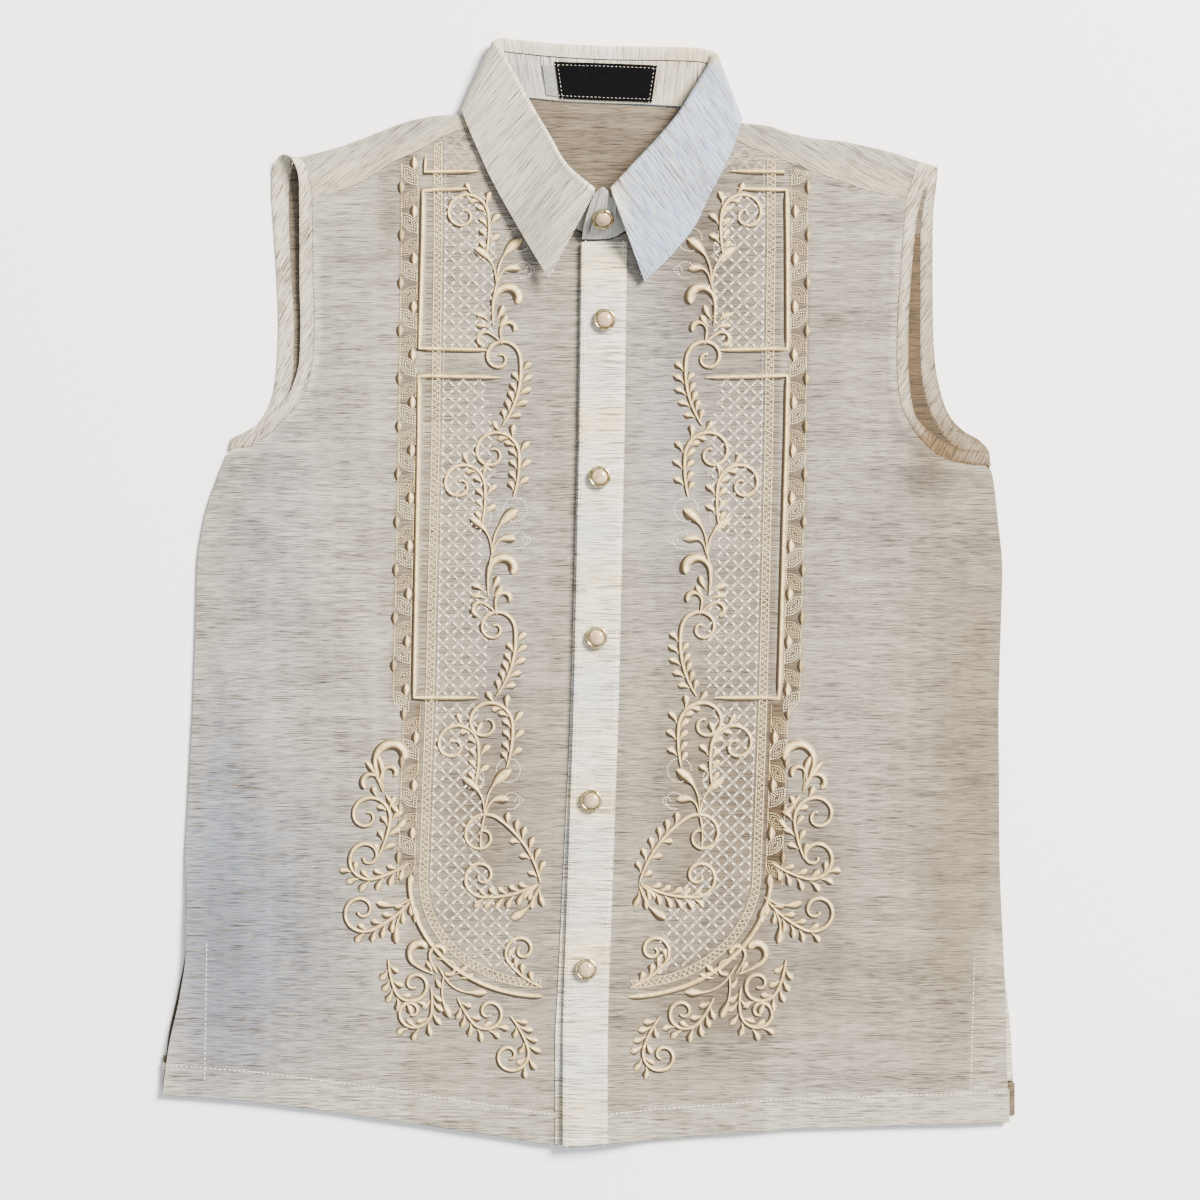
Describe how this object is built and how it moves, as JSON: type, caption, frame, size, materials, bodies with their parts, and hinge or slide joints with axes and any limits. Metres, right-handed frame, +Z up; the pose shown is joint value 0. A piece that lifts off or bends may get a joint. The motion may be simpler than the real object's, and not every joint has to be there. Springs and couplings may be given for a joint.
{
  "type": "sleeveless barong tagalog shirt",
  "caption": "Sleeveless embroidered button-front shirt with a pointed collar, shoulder yoke, bound armholes, placket and side vents, buttoned and laid flat on its back.",
  "frame": {"origin": "centre of the shirt's footprint, on the surface it lies on", "axes": "+Y from the hem to the collar, +X to the wearer's left, +Z up off the surface, out of the shirt's front"},
  "size_m": [0.5147, 0.6691, 0.0297],
  "materials": {
    "body_cloth": "sheer slubbed pineapple-silk weave, greyish beige",
    "doubled_cloth": "the same weave doubled, paler cream",
    "collar_cloth": "interlined slubbed weave, crisp, cream",
    "label_weave": "black satin-woven tape",
    "tab_weave": "light grey woven tape",
    "gilt_metal": "polished pale gilt",
    "pearl": "imitation pearl, lustrous"
  },
  "bodies": {
    "root": {"back_panel": "body_cloth", "yoke": "body_cloth", "right_front": "body_cloth", "left_front": "body_cloth", "under_placket": "doubled_cloth", "placket": "doubled_cloth", "right_front_vent_facing": "doubled_cloth", "right_back_vent_facing": "doubled_cloth", "left_front_vent_facing": "doubled_cloth", "left_back_vent_facing": "doubled_cloth", "right_armhole_band": "doubled_cloth", "left_armhole_band": "doubled_cloth", "collar_stand": "collar_cloth", "collar_leaf": "collar_cloth", "label": "label_weave", "size_tab": "tab_weave", "button_1_rim": "gilt_metal", "button_1_pearl": "pearl", "button_2_rim": "gilt_metal", "button_2_pearl": "pearl", "button_3_rim": "gilt_metal", "button_3_pearl": "pearl", "button_4_rim": "gilt_metal", "button_4_pearl": "pearl", "button_5_rim": "gilt_metal", "button_5_pearl": "pearl", "button_6_rim": "gilt_metal", "button_6_pearl": "pearl"}
  },
  "joints": []
}
